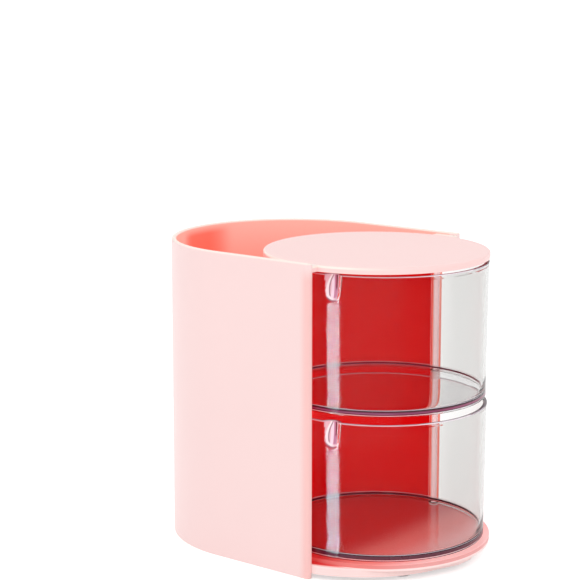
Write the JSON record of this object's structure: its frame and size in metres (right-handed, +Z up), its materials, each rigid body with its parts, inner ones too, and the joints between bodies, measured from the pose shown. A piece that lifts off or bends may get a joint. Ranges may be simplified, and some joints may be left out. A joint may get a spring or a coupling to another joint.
{
  "type": "hair accessory organizer",
  "caption": "Upright organizer with a round-ended pocket for brushes and stacked clear round drawers that swing out on a shared upright pin.",
  "frame": {"origin": "centre of the bounding box's bottom, on the surface that the organizer stands on", "axes": "+X along the length from the pocket to the drawers, -Y out of the flat front wall, +Z up"},
  "size_m": [0.1931, 0.138, 0.1715],
  "materials": {
    "pink_plastic": "satin",
    "clear_plastic": "polished",
    "steel": "bright",
    "white_plastic": "satin",
    "foot_rubber": "matte"
  },
  "bodies": {
    "body": {"outer_shell": "pink_plastic", "bay_partition": "pink_plastic", "base_plate": "pink_plastic", "top_cover": "pink_plastic", "hinge_pin": "clear_plastic", "hinge_plug": "pink_plastic", "lower_washer": "white_plastic", "middle_spacer": "white_plastic", "upper_washer": "white_plastic", "base_screws": "steel", "foot_left_front": "foot_rubber", "foot_left_back": "foot_rubber", "foot_right_front": "foot_rubber", "foot_right_back": "foot_rubber"},
    "lower_drawer": {"lower_drawer": "clear_plastic"},
    "upper_drawer": {"upper_drawer": "clear_plastic"}
  },
  "joints": [
    {"name": "lower_drawer_swing", "type": "hinge", "parent": "body", "child": "lower_drawer", "pos_m": [0.03495, 0.05494, 0.04818], "axis": [0, 0, 1], "range_deg": [0, 100]},
    {"name": "upper_drawer_swing", "type": "hinge", "parent": "body", "child": "upper_drawer", "pos_m": [0.03495, 0.05494, 0.12752], "axis": [0, 0, 1], "range_deg": [0, 100]}
  ]
}
